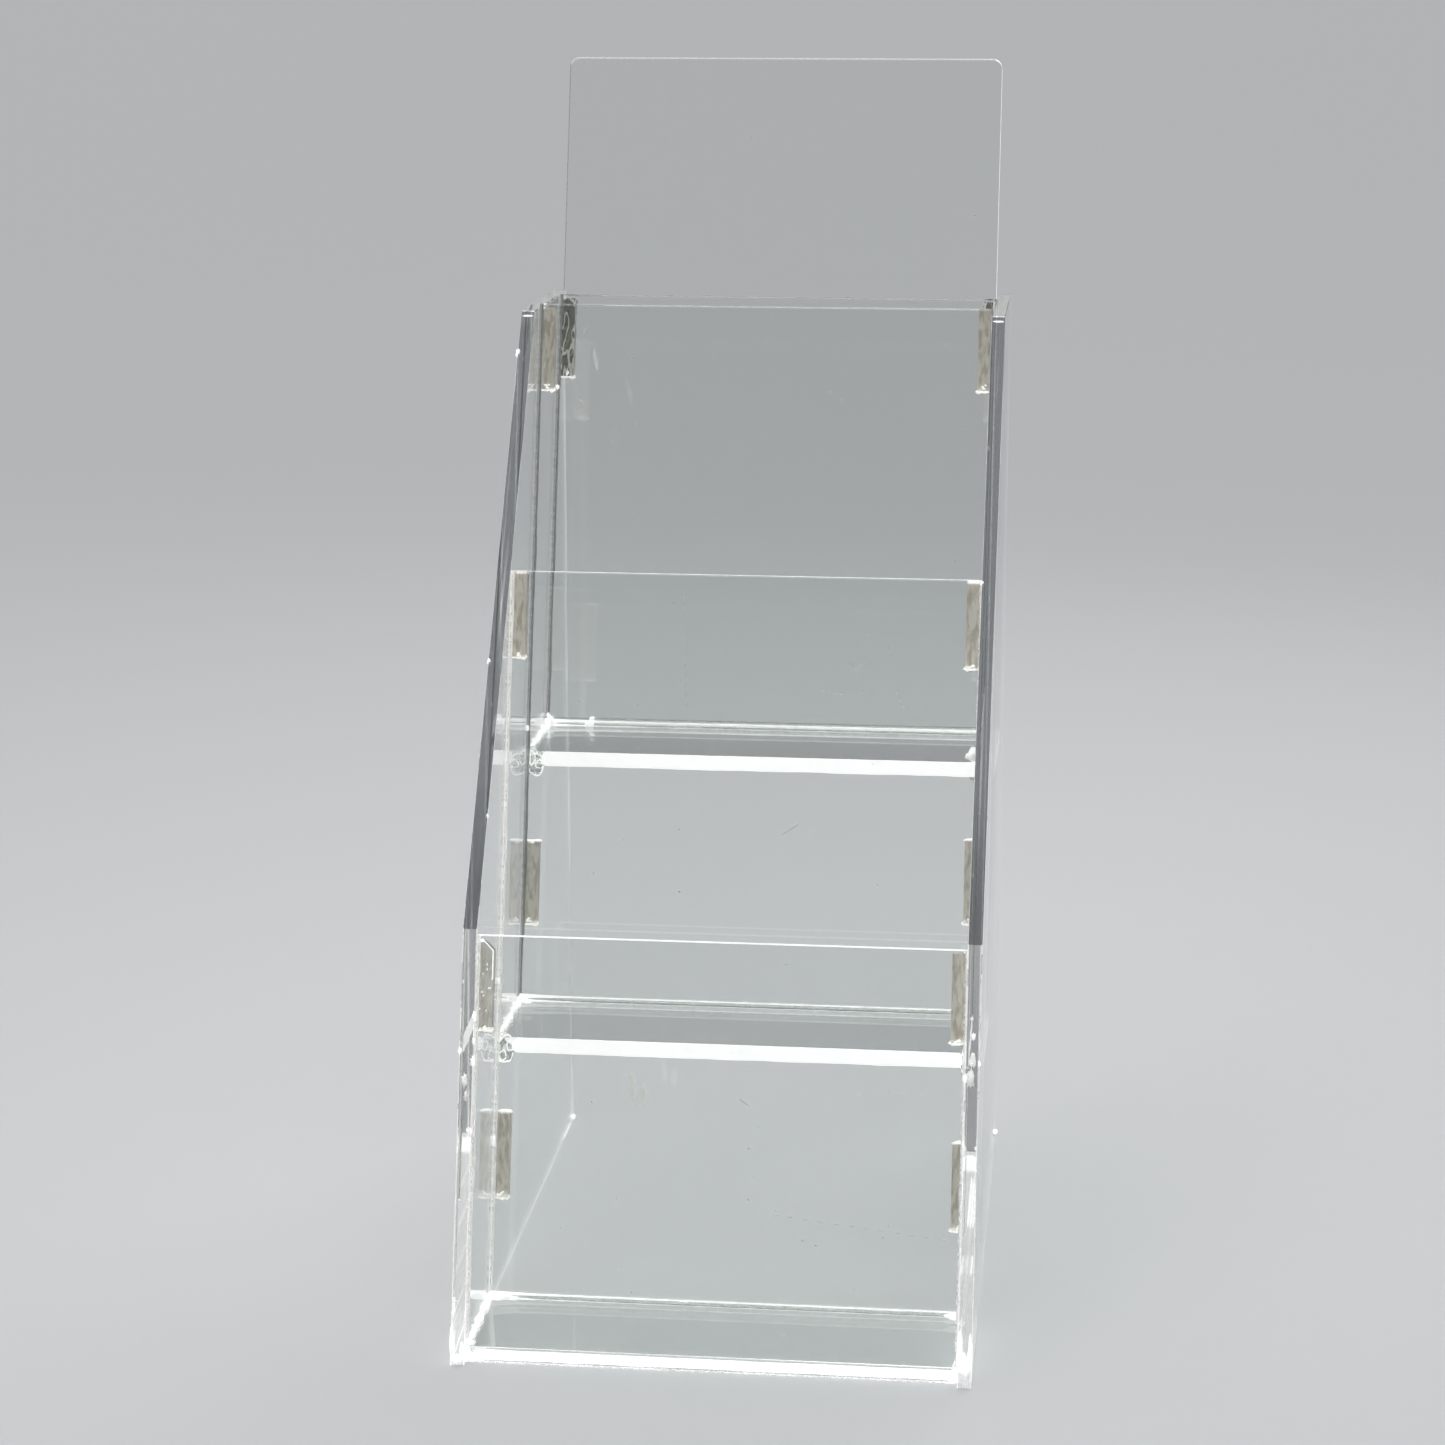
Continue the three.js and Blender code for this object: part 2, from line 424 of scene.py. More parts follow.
def bar_acrylic(name, dark, light, clearness, roughness, worms=0.0):
    """Small bars with sawn faces and a warm cast, whose tone wanders between dark and light. worms
    is the width of the winding white paths that the cement left behind the bar."""
    material, shader, nodes, links = new_material(name, light, roughness, clearness)
    ribs = noise_node(nodes, links, 1300, 2.0, 0.5, (1, 1, 0.035), SHEET_LEAN)
    add_bump(nodes, links, shader, ribs, 0.5, 0.2)
    tone = two_tones(nodes, (0.41, dark), (0.54, light))
    clouds = noise_node(nodes, links, 300, 3.0)
    streaked = math_node(nodes, links, "MULTIPLY_ADD", ribs, 0.7)
    links.new(math_node(nodes, links, "MULTIPLY", clouds, 0.3), streaked.node.inputs[2])
    links.new(streaked, tone.inputs["Fac"])
    colour = tone.outputs["Color"]
    if worms:
        paths = noise_node(nodes, links, 650, 1.0, 0.5, (1, 1, 0.2))
        ridge = math_node(nodes, links, "ABSOLUTE", math_node(nodes, links, "SUBTRACT", paths, 0.5))
        line = math_node(nodes, links, "LESS_THAN", ridge, worms)
        painted = nodes.new("ShaderNodeMix")
        painted.data_type = "RGBA"
        links.new(line, painted.inputs["Factor"])
        links.new(colour, painted.inputs["A"])
        painted.inputs["B"].default_value = (*WORM_COLOUR, 1)
        colour = painted.outputs["Result"]
        clear = math_node(nodes, links, "MULTIPLY_ADD", line, WORM_CLEARNESS - clearness)
        clear.node.inputs[2].default_value = clearness
        links.new(clear, shader.inputs["Transmission Weight"])
    links.new(colour, shader.inputs["Base Color"])
    let_lamps_through(nodes, links, shader, (0.72, 0.70, 0.66))
    return material


def milky_cement():
    """Dried cement full of fine bubbles, with an even painted glow (emission) standing in for light
    from within the sheet that it joins.
    """
    material, shader, nodes, links = new_material("milky_cement", (0.95, 0.96, 0.95), 0.35, 0.0)
    shader.inputs["Emission Strength"].default_value = 0.58
    tone = two_tones(nodes, (0.25, (0.80, 0.82, 0.82)), (0.55, (0.98, 0.98, 0.97)))
    links.new(noise_node(nodes, links, 500, 4.0, 0.7), tone.inputs["Fac"])
    links.new(tone.outputs["Color"], shader.inputs["Base Color"])
    add_bump(nodes, links, shader, noise_node(nodes, links, 900, 3.0), 0.5, 0.2)
    return material


def clear_cement():
    """Cement that dried clear: glossy lumps with ripples that bend what is behind them."""
    material, shader, nodes, links = new_material("clear_cement", (0.90, 0.92, 0.91), 0.12, 0.8)
    add_bump(nodes, links, shader, noise_node(nodes, links, 350, 3.0), 0.6, 0.3)
    let_lamps_through(nodes, links, shader, (0.9, 0.91, 0.9))
    return material


FILM_CLEARNESS = 0.75
PATH_CLEARNESS = 0.15


def film_cement(name, worms, colour=(0.93, 0.92, 0.89), glow=0.0):
    """A thin, half-clear film. Where it missed the acrylic it left winding paths, wider ones as
    worms goes up. glow is an even painted glow (emission) that makes the film read lighter."""
    material, shader, nodes, links = new_material(name, colour, 0.35, 0.5)
    shader.inputs["Emission Strength"].default_value = glow
    paths = noise_node(nodes, links, 420, 2.0, 0.5, (1, 1, 0.5))
    ridge = math_node(nodes, links, "ABSOLUTE", math_node(nodes, links, "SUBTRACT", paths, 0.5))
    line = math_node(nodes, links, "LESS_THAN", ridge, 0.05 * worms)
    clearness = math_node(nodes, links, "MULTIPLY_ADD", line, PATH_CLEARNESS - FILM_CLEARNESS)
    clearness.node.inputs[2].default_value = FILM_CLEARNESS
    links.new(clearness, shader.inputs["Transmission Weight"])
    let_lamps_through(nodes, links, shader, (0.85, 0.85, 0.83))
    return material


def smear_haze():
    """A faint, greasy smear."""
    material, shader, nodes, links = new_material("smear_haze", (0.95, 0.95, 0.93), 0.5, 0.85)
    tone = noise_node(nodes, links, 700, 3.0)
    links.new(math_node(nodes, links, "MULTIPLY_ADD", tone, 0.5), shader.inputs["Roughness"])
    let_lamps_through(nodes, links, shader, (0.95, 0.95, 0.95))
    return material


def scratch_white():
    """The crushed, whitened surface of a scratch or a settled speck."""
    material, shader, nodes, links = new_material("scratch_white", (0.93, 0.93, 0.91), 0.6, 0.25)
    tone = noise_node(nodes, links, 1200, 2.0)
    links.new(math_node(nodes, links, "MULTIPLY_ADD", tone, 0.3), shader.inputs["Roughness"])
    return material


# ---------------------------------------------------------------- mesh helpers

def add_piece(name, mesh, material, body=RACK):
    piece = bpy.data.objects.new(name, mesh)
    mesh.materials.append(material)
    scene.collection.objects.link(piece)
    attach(piece, body)
    return piece


def finish_mesh(name, grid, smooth=True):
    bmesh.ops.recalc_face_normals(grid, faces=grid.faces)
    mesh = bpy.data.meshes.new(name)
    grid.to_mesh(mesh)
    grid.free()
    if smooth:
        mesh.shade_smooth()
    return mesh


def sweep(grid, rings):
    """Joins rings of points, all with the same count, into a closed body."""
    loops = [[grid.verts.new(point) for point in ring] for ring in rings]
    count = len(loops[0])
    for before, after in zip(loops, loops[1:]):
        for i in range(count):
            j = (i + 1) % count
            grid.faces.new((before[i], before[j], after[j], after[i]))
    grid.faces.new(loops[0])
    grid.faces.new(reversed(loops[-1]))


def blob(grid, centre, size, seed, lumpiness=0.35, waves=1.6):
    """A lump of cement: a ball stretched to size and pushed in and out, in more places as waves
    goes up."""
    made = bmesh.ops.create_icosphere(grid, subdivisions=3, radius=1.0)["verts"]
    shift = Vector((seed * 3.1, seed * 1.7, seed * 5.3))
    size = Vector(size)
    for vertex in made:
        way = vertex.co.copy()
        push = 1 + lumpiness * noise.noise(way * waves + shift)
        push += 0.4 * lumpiness * noise.noise(way * 4.0 + shift)
        vertex.co = Vector(centre) + way * size * push


def stations(count):
    """The shares of its length, from 0 to 1, at which a bead gets its rings."""
    return [i / count for i in range(count + 1)]


def wander(seed, t, scale):
    """Smooth pseudo-random value from -1 to 1 along a bead."""
    return noise.noise(Vector((t * scale, seed * 7.3, seed * 2.1)))


# ---------------------------------------------------------------- cement

# How each shelf's front seam lies, in millimetres: how far its top and bottom stand out past the
# shelf's own, and how far from the left and the right side panel it stops.
SEAM_LIPS = [(-0.6, -0.55, 2.0, 0.3), (0.0, 0.05, 3.1, 1.4), (0.0, 0.05, 3.2, 0.3)]


def shelf_front_seam(index, shelf, sheet, material):
    """White cement in the wedge between a shelf's front edge and the sheet in front of it."""
    low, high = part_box(shelf)
    over, under, left_gap, right_gap = SEAM_LIPS[index]
    grid = bmesh.new()
    rings = []
    bite = 0.06 * MM
    start, end = low.x + left_gap * MM, high.x - right_gap * MM
    for t in stations(180):
        x = start + (end - start) * t
        taper = min(1, 0.45 + (x - start) / (1.2 * MM), 0.45 + (end - x) / (0.8 * MM))
        above = (over + 0.10 * wander(index + 1, t, 18)) * MM
        below = (under + 0.12 * wander(index + 5, t, 14)) * MM
        middle = (high.z + low.z + above - below) / 2
        half = (high.z - low.z + above + below) / 2 * taper
        top, bottom = middle + half, middle - half
        back = low.y + bite
        rings.append([
            (x, sheet.y_at(top, sheet.thickness) - bite, top),
            (x, sheet.y_at(middle, sheet.thickness) - bite, middle),
            (x, sheet.y_at(bottom, sheet.thickness) - bite, bottom),
            (x, back, max(bottom, low.z)), (x, back, middle), (x, back, min(top, high.z)),
        ])
    sweep(grid, rings)
    add_piece(f"cement_front_{shelf}", finish_mesh("seam", grid, False), material)


def shelf_end_seam(index, shelf, side, material):
    """Lumpy cement between a shelf's end and the side panel."""
    low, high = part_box(shelf)
    wall = inner_face(side)
    grid = bmesh.new()
    rings = []
    seed = index * 2 + side + 10
    for t in stations(60):
        y = low.y + 0.4 * MM + (high.y - low.y - 0.8 * MM) * t
        out = (0.7 + 0.55 * wander(seed, t, 12) + 0.35 * wander(seed + 9, t, 34)) * MM
        above = (0.2 + 0.9 * max(0, wander(seed + 3, t, 11))) * MM
        below = (0.10 + 0.8 * max(0, wander(seed + 6, t, 8))) * MM
        top, bottom = high.z + above, low.z - below
        if index == 0:
            bottom = max(bottom, 0.1 * MM)
        outer = wall + side * 0.05 * MM
        inner = wall - side * out
        middle = (top + bottom) / 2
        rings.append([
            (outer, y, top), (inner, y, high.z), (inner + side * 0.1 * MM, y, middle),
            (inner, y, low.z), (outer, y, bottom),
        ])
    sweep(grid, rings)
    add_piece(f"cement_end_{shelf}_{side_name(side)}", finish_mesh("seam", grid, False), material)


def sheet_foot_bead(index, sheet_name, shelf, material):
    """Clear bead in the wedge under a leaning sheet's square-cut foot."""
    sheet = LeaningSheet(sheet_name)
    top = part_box(shelf)[1].z
    grid = bmesh.new()
    rings = []
    bite = 0.05 * MM
    for t in stations(120):
        across = sheet.half_width * (2 * t - 1) * 0.997
        swell = (0.35 + 0.12 * wander(index + 20, t, 9)) * MM
        foot_front = sheet.point(across, 0, bite)
        foot_back = sheet.point(across, sheet.thickness, bite)
        rings.append([
            tuple(foot_front + UP_SLOPE * swell * 0.8 - THROUGH * 0.02 * MM),
            (across, foot_front.y - swell, top - bite),
            (across, foot_back.y, top - bite),
            tuple(foot_back),
            tuple(foot_front + THROUGH * bite),
        ])
    sweep(grid, rings)
    add_piece(f"cement_foot_{sheet_name}", finish_mesh("bead", grid, True), material)


def sheet_foot_line(index, sheet_name, shelf, material):
    """Two thin white lines of cement at a leaning sheet's foot, thicker at the left: one along the
    sheet's front corner, which stands clear of the shelf, and one on the shelf below it."""
    sheet = LeaningSheet(sheet_name)
    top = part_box(shelf)[1].z
    grid = bmesh.new()
    upper, lower = [], []
    for t in stations(150):
        across = sheet.half_width * (2 * t - 1) * 0.995
        swell = 0.4 * math.exp(-t * 14)
        size = (0.17 + swell + 0.05 * wander(index + 31, t, 40)) * MM
        upper.append([
            tuple(sheet.point(across, size * 0.6 * through, 0.1 * MM + size * up))
            for through, up in ((-1, -0.3), (-0.7, 0.8), (0.6, 0.8), (0.6, -0.8), (-0.5, -0.9))
        ])
        size = (0.15 + swell + 0.07 * wander(index + 36, t, 25)) * MM
        y = sheet.foot.y - 0.1 * MM
        lower.append([
            (across, y + size, top - 0.04 * MM), (across, y - size, top - 0.04 * MM),
            (across, y - size * 0.6, top + size * 0.7), (across, y + size * 0.6, top + size * 0.7),
        ])
    sweep(grid, upper)
    sweep(grid, lower)
    add_piece(f"cement_line_{sheet_name}", finish_mesh("line", grid, False), material)


# Lumps at the left front corner of each shelf, in millimetres: from the side panel, from the
# shelf's front edge and from its underside, then the lump's half sizes. The right ones are smaller.
CORNER_LUMPS = [
    [((0.5, 0.3, 1.5), (0.7, 0.8, 1.2)), ((1.5, 0.2, 0.7), (0.7, 0.6, 0.4)),
     ((0.7, 2.2, 2.4), (0.8, 1.6, 1.0))],
    [((1.4, 0.4, -0.3), (1.6, 0.9, 2.4)), ((2.9, 0.1, 0.3), (0.8, 0.6, 0.9)),
     ((0.8, 1.8, 2.8), (0.9, 1.5, 0.9)), ((0.7, 0.2, -1.6), (0.7, 0.6, 0.8))],
    [((1.4, 0.4, -0.2), (1.6, 0.9, 2.3)), ((2.9, 0.1, 1.8), (0.8, 0.6, 1.1)),
     ((0.9, 1.6, 2.7), (1.0, 1.4, 1.0)), ((0.5, 0.3, -1.6), (0.6, 0.5, 0.9))],
]
# White lumps at each shelf's rear left corner: from the side panel, from the foot of the sheet that
# stands there, above the shelf, and half sizes.
REAR_LUMPS = [
    [((2.2, 0.9, 0.55), (2.6, 0.9, 0.8)), ((5.0, 0.7, 0.3), (2.2, 0.5, 0.4))],
    [((1.0, 0.8, 0.5), (1.3, 0.8, 0.7)), ((2.4, 1.6, 0.2), (1.0, 0.6, 0.35))],
    [((1.0, 0.8, 0.8), (1.2, 0.8, 1.0)), ((0.7, 0.8, 2.4), (0.45, 0.5, 0.6)),
     ((10.4, 0.6, 0.6), (0.9, 0.5, 0.8)), ((10.9, 0.6, 1.9), (0.55, 0.4, 0.45))],
]
RIGHT_SHARE = 0.8  # size of the right corners' lumps, against the left ones
# Half size of the crazed lump that stands on the right front corner of the upper two shelves.
TOP_LUMP_SIZES = [0.8, 1.65]


def corner_lumps(index, shelf, sheet, clear, milky, crazed):
    """Lumps where a shelf's corners meet the side panels."""
    low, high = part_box(shelf)
    foot = sheet.foot.y
    for side in (-1, 1):
        wall = inner_face(side)
        name = side_name(side)
        share = 1.0 if side < 0 else RIGHT_SHARE
        grid = bmesh.new()
        for number, (place, size) in enumerate(CORNER_LUMPS[index]):
            across, back, up = (value * share * MM for value in place)
            half = [value * share * MM for value in size]
            centre = Vector((wall - side * across, low.y + back, low.z + up))
            if index == 0:
                centre.z = max(centre.z, half[2] * 1.45)
            blob(grid, centre, half, index * 5 + side * 3 + number, 0.45)
        add_piece(f"cement_lump_{shelf}_{name}", finish_mesh("lump", grid), clear)
        grid = bmesh.new()
        for number, (place, size) in enumerate(REAR_LUMPS[index]):
            if side > 0 and number > 0:
                continue
            across, ahead, up = (value * share * MM for value in place)
            half = [value * share * MM for value in size]
            centre = (wall - side * across, foot - ahead, high.z + up)
            blob(grid, centre, half, index * 4 + side + number, 0.55)
        add_piece(f"cement_rear_{shelf}_{name}", finish_mesh("lump", grid), milky)
    if index > 0:
        grid = bmesh.new()
        size = TOP_LUMP_SIZES[index - 1] * MM
        centre = (inner_face(1) - size * 0.9, low.y + size * 0.5, high.z + size * 0.8)
        blob(grid, centre, (size, size * 0.8, size), index + 60, 0.7)
        add_piece(f"cement_top_{shelf}", finish_mesh("lump", grid), crazed)


# Wavy white outlines where cement spread over the back of the sheet in front of a shelf's corner:
# the shelf's index, the side, the middle from the side panel and above the shelf's underside, and
# the half width and half height, in millimetres.
OUTLINES = [
    (1, -1, 1.9, 0.5, 1.8, 2.6), (1, -1, 1.1, -0.9, 0.8, 1.1), (1, -1, 2.9, 1.2, 0.8, 1.0),
    (2, -1, 1.9, 0.3, 1.9, 2.5), (2, -1, 1.0, 1.6, 0.8, 1.3), (2, -1, 2.8, 0.2, 0.9, 0.8),
    (1, 1, 1.0, 0.9, 1.0, 2.1), (1, 1, 0.7, 1.6, 0.5, 0.8),
]
OUTLINE_TURN = math.radians(345)


def corner_outlines(milky):
    """The outlines listed above, as open loops of thread."""
    grid = bmesh.new()
    for number, (index, side, across, up, half_width, half_height) in enumerate(OUTLINES):
        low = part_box(SHELVES[index])[0]
        sheet = LeaningSheet(LEANING[index])
        rings = []
        for t in stations(40):
            turn = OUTLINE_TURN * t
            way = Vector((math.cos(turn), math.sin(turn), 0))
            shape = 1 + 0.3 * noise.noise(way * 1.3 + Z * number * 3.7)
            thick = (0.13 + 0.09 * wander(number + 11, t, 12)) * MM
            ring = []
            for out, lift in ((-1, 0), (0, -1), (1, 0), (0, 1)):
                reach = 1 + out * thick / (half_width * MM)
                x = inner_face(side) - side * (across + half_width * shape * reach * way.x) * MM
                z = low.z + (up + half_height * shape * reach * way.y) * MM
                ring.append((x, sheet.y_at(z, sheet.thickness + 0.06 * MM) + lift * thick * 0.5, z))
            rings.append(ring)
        sweep(grid, rings)
    add_piece("cement_outlines", finish_mesh("outline", grid, False), milky)


# White lumps at the front sheet's foot, in millimetres: from the side panel, from the sheet's front
# face and up the slope, and the lump's half size.
FOOT_LUMPS = [
    (0.5, 2.6, 1.1, 0.9), (0.2, 0.9, 0.9, 0.7), (0.4, 1.6, 2.6, 0.55),
    (1.7, 3.0, 0.8, 0.6), (0.3, 2.9, 4.0, 0.45),
]


def foot_lumps(milky):
    """White lumps where the front sheet's foot meets the side panels, at the table."""
    sheet = LeaningSheet(LEANING[0])
    for side in (-1, 1):
        wall = inner_face(side)
        grid = bmesh.new()
        for number, (across, through, up, size) in enumerate(FOOT_LUMPS):
            place = sheet.point(wall - side * across * MM, through * MM, up * MM)
            place.z = max(place.z, size * 1.3 * MM)
            half = (size * MM, size * MM * 0.8, size * MM * 1.1)
            blob(grid, place, half, number + side * 7 + 30, 0.7)
        add_piece(f"cement_foot_lumps_{side_name(side)}", finish_mesh("lump", grid), milky)


def sheet_end_film(sheet_name, side, material):
    """Ragged film of cement between a leaning sheet's sawn end and the side panel."""
    sheet = LeaningSheet(sheet_name)
    outer = inner_face(side) + side * 0.03 * MM
    inner = side * (sheet.half_width - 0.03 * MM)
    seed = LEANING.index(sheet_name) * 2 + side + 40
    grid = bmesh.new()
    rings = []
    for t in stations(int(sheet.length / (1.2 * MM))):
        along = sheet.length * t
        front = (0.25 + 0.25 * wander(seed, t, 25)) * MM
        back = sheet.thickness - (0.2 + 0.3 * wander(seed + 3, t, 31)) * MM
        fillet = (0.25 + 0.35 * max(0, wander(seed + 6, t, 18))) * MM
        rings.append([
            tuple(sheet.point(x, through, along))
            for x, through in (
                (outer, front), (outer, back + fillet),
                (inner - side * fillet, sheet.thickness + 0.02 * MM),
                (inner, back - 0.4 * MM), (inner, front),
            )
        ])
    sweep(grid, rings)
    name = f"cement_film_{sheet_name}_{side_name(side)}"
    add_piece(name, finish_mesh("film", grid, False), material)


def bar_cement(node, wormy, milky):
    """Cement behind a bar: a film against the side panel, and a bead at each of its ends."""
    low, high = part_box(node)
    side = -1 if high.x < 0 else 1
    bar = LeaningSheet(node)
    bite = side * 0.03 * MM
    wall = inner_face(side) + bite
    edge = (high.x if side > 0 else low.x) - bite
    grid = bmesh.new()
    rings = []
    seed = sum(map(ord, node)) % 50
    for t in stations(24):
        along = bar.length * (0.02 + 0.96 * t)
        front = (0.3 + 0.3 * wander(seed, t, 9)) * MM
        back = bar.thickness - (0.3 + 0.3 * wander(seed + 1, t, 8)) * MM
        corners = ((wall, front), (wall, back), (edge, back), (edge, front))
        rings.append([tuple(bar.point(x, through, along)) for x, through in corners])
    sweep(grid, rings)
    add_piece(f"cement_{node}", finish_mesh("film", grid, False), wormy)
    grid = bmesh.new()
    bottom = bar.point((low.x + high.x) / 2, bar.thickness / 2, 0)
    blob(grid, bottom, (1.65 * MM, 1.4 * MM, 0.26 * MM), seed, 0.5)
    for crumb in range(5):
        sideways, upwards = wander(seed + crumb, 0.3, 3), 0.6 + wander(seed + crumb, 0.7, 3)
        jump = Vector((sideways, 0, upwards)) * 1.2 * MM
        half = (0.22 * MM, 0.12 * MM, 0.2 * MM)
        blob(grid, bottom - THROUGH * (bar.thickness / 2) + jump, half, seed + crumb, 0.7)
    blob(grid, bottom - X * (1.1 * side * MM), (0.6 * MM, 0.8 * MM, 0.5 * MM), seed + 1, 0.6)
    top = bottom + UP_SLOPE * bar.length
    if node.startswith("bar_low"):
        blob(grid, top, (1.55 * MM, 1.4 * MM, 0.17 * MM), seed + 2, 0.6)
    else:
        blob(grid, top + X * (1.3 * side * MM), (0.45 * MM, 0.9 * MM, 0.22 * MM), seed + 2, 0.6)
    add_piece(f"cement_ends_{node}", finish_mesh("lump", grid), milky)


# ---------------------------------------------------------------- wear

# Scratches on the front faces: sheet, start and end as (across, along) in millimetres, width in
# millimetres, and the number of dashes that the scratch breaks into.
SCRATCHES = [
    ("header_sheet", (-20, 33), (-18.5, 2.5), 0.16, 13),
    ("divider_lower", (9, 100), (13.5, 103), 0.34, 1),
    ("pocket_front", (4.5, 56.5), (7, 55), 0.34, 1),
    ("pocket_front", (11.5, 33), (49, 29), 0.16, 12),
    ("pocket_front", (27.5, 58), (45, 59), 0.10, 4),
    ("divider_lower", (23.5, 135.5), (26, 137.5), 0.22, 1),
    ("divider_lower", (23, 138.5), (23.5, 137), 0.22, 1),
    ("divider_lower", (33, 132), (35.5, 127.5), 0.12, 3),
    ("divider_lower", (17, 131.5), (23.5, 130.5), 0.12, 5),
    ("divider_upper", (-41, 149), (-40, 151), 0.30, 1),
    ("divider_upper", (-39.5, 147.5), (-38.5, 146.5), 0.45, 1),
    ("divider_upper", (-41.5, 134.5), (-40.5, 133.5), 0.45, 1),
    ("divider_upper", (-42.5, 132), (-41, 131), 0.45, 1),
]
# Greasy smears on the front faces, given in the same way.
SMEARS = [
    ("pocket_front", (-18, 61), (-17.5, 55), 1.3, 1),
    ("pocket_front", (-15.5, 58.5), (-15.5, 54), 1.4, 1),
    ("divider_upper", (-38.5, 146), (-37.5, 141), 0.7, 1),
]
SPECKS_PER_SHEET = 26
SPECK_SIZES = (0.10, 0.30)


def scratch(grid, sheet, start, end, width, dashes):
    """Dashes along a line on the sheet's front face, each a sliver that tapers at both ends."""
    start, end = Vector(start) * MM, Vector(end) * MM
    run = end - start
    cross = Vector((-run.y, run.x)).normalized() * width * MM / 2
    proud = 0.03 * MM
    for dash in range(dashes):
        first = (dash + 0.18 * (dashes > 1)) / dashes
        last = (dash + 1 - 0.3 * (dashes > 1)) / dashes
        rings = []
        for step, share in enumerate((0.15, 0.8, 1.0, 0.9, 0.15)):
            at = start + run * (first + (last - first) * step / 4)
            a, b = at + cross * share, at - cross * share
            rings.append([
                tuple(sheet.point(a.x, 0.02 * MM, a.y)),
                tuple(sheet.point(at.x, -proud, at.y)),
                tuple(sheet.point(b.x, 0.02 * MM, b.y)),
                tuple(sheet.point(at.x, proud * 1.5, at.y)),
            ])
        sweep(grid, rings)


def speck(grid, sheet, across, along, radius):
    """A flattened ball of dust on the sheet's front face."""
    made = bmesh.ops.create_icosphere(grid, subdivisions=1, radius=1.0)["verts"]
    for vertex in made:
        way = vertex.co * radius
        vertex.co = sheet.point(across + way.x, way.y * 0.3, along + way.z)


def add_wear(material, haze):
    """Scratches and dust specks on the front of every leaning sheet and the header."""
    for node in sorted({name for name, *_ in SMEARS}):
        grid = bmesh.new()
        for name, start, end, width, dashes in SMEARS:
            if name == node:
                scratch(grid, LeaningSheet(node), start, end, width, dashes)
        mesh = finish_mesh("smears", grid, False)
        add_piece(f"smears_{node}", mesh, haze, RACK)
    draw = random.Random(7)
    for node in LEANING + ["header_sheet"]:
        sheet = LeaningSheet(node)
        grid = bmesh.new()
        for name, start, end, width, dashes in SCRATCHES:
            if name == node:
                scratch(grid, sheet, start, end, width, dashes)
        for _ in range(SPECKS_PER_SHEET):
            across = draw.uniform(-0.92, 0.92) * sheet.half_width
            along = draw.uniform(0.04, 0.96) * sheet.length
            radius = draw.uniform(*SPECK_SIZES) ** 1.5 * MM * 1.6
            speck(grid, sheet, across, along, radius)
        body = HEADER if node == "header_sheet" else RACK
        mesh = finish_mesh("marks", grid, False)
        add_piece(f"marks_{node}", mesh, material, body)


# Chips and dried drops on the side panels' front edges: the panel, the height in millimetres, the
# place across the edge (-1 for its left corner, 1 for its right one), and the size.
CHIPS = [
    ("a", "side_left", 198.2, -1, 0.9), ("b", "side_left", 137, -1, 0.7),
    ("c", "side_right", 154, -1, 0.6), ("d", "side_left", 61, 1, 1.0),
    ("e", "side_left", 63, -1, 0.7), ("f", "side_left", 70, 1, 0.9),
    ("g", "side_left", 47, 1, 0.5), ("h", "side_right", 48, -1, 0.5),
    ("i", "side_left", 65, 1, 0.6), ("j", "side_left", 108, 1, 0.5),
    ("k", "side_right", 61, -1, 0.8), ("l", "side_right", 64, 1, 0.6),
    ("m", "side_right", 69.3, 0.1, 0.8), ("n", "side_right", 64.5, 0, 1.3),
    ("o", "side_right", 61.0, -0.2, 1.5), ("p", "side_left", 57, -0.2, 1.2),
    ("q", "side_left", 54, 0.1, 0.9),
]
CRAZED_CHIPS = "nopq"  # half clear and crazed, where the others are white


def top_dashes(material):
    """A white dash of melted edge just under the top corner of each side panel's front edge."""
    height = side_outline()[3][0] - 1.1 * MM
    for node, name in (("side_left", "left"), ("side_right", "right")):
        low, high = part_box(node)
        grid = bmesh.new()
        middle = ((low.x + high.x) / 2, side_front(height) + 0.1 * MM, height)
        blob(grid, middle, (1.25 * MM, 0.3 * MM, 0.24 * MM), ord(name[0]), 0.25)
        add_piece(f"dash_{name}", finish_mesh("dash", grid), material)


# Cement at the foot of each side panel's front edge, in millimetres: how high it reaches up the
# edge's left corner, its middle and its right corner, and its half width at a corner and between.
FOOT_DRIPS = {"side_left": (7.5, 2.2, 4.5), "side_right": (10.5, 6.5, 9.5)}
CORNER_DRIP = 0.5
MIDDLE_DRIP = 1.25


def front_edge_drips(milky):
    """White cement that ran down the corners of each panel's front edge and across its foot."""
    for node, tops in FOOT_DRIPS.items():
        low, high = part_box(node)
        grid = bmesh.new()
        seed = len(node)
        inset = 0.4 * MM
        places = (low.x + inset, (low.x + high.x) / 2, high.x - inset)
        widths = (CORNER_DRIP, MIDDLE_DRIP, CORNER_DRIP)
        for number, (x, width, top) in enumerate(zip(places, widths, tops)):
            half = top / 2 * MM
            centre = (x, side_front(half) + 0.2 * MM, half * 1.25)
            blob(grid, centre, (width * MM, 0.45 * MM, half), seed + number, 0.5)
        name = node.removeprefix("side_")
        add_piece(f"cement_edge_{name}", finish_mesh("drips", grid), milky)


# White smears in the side panels' undersides, in millimetres: where each starts and ends, measured
# from the back, how far it is from the panel's middle, and its half width.
UNDERSIDE_SMEARS = {
    "side_left": [(3.8, 14.0, 0, 1.3)],
    "side_right": [(3.8, 14.0, 0, 1.3), (19, 53, -0.9, 0.25), (72, 84, -0.5, 0.2)],
}


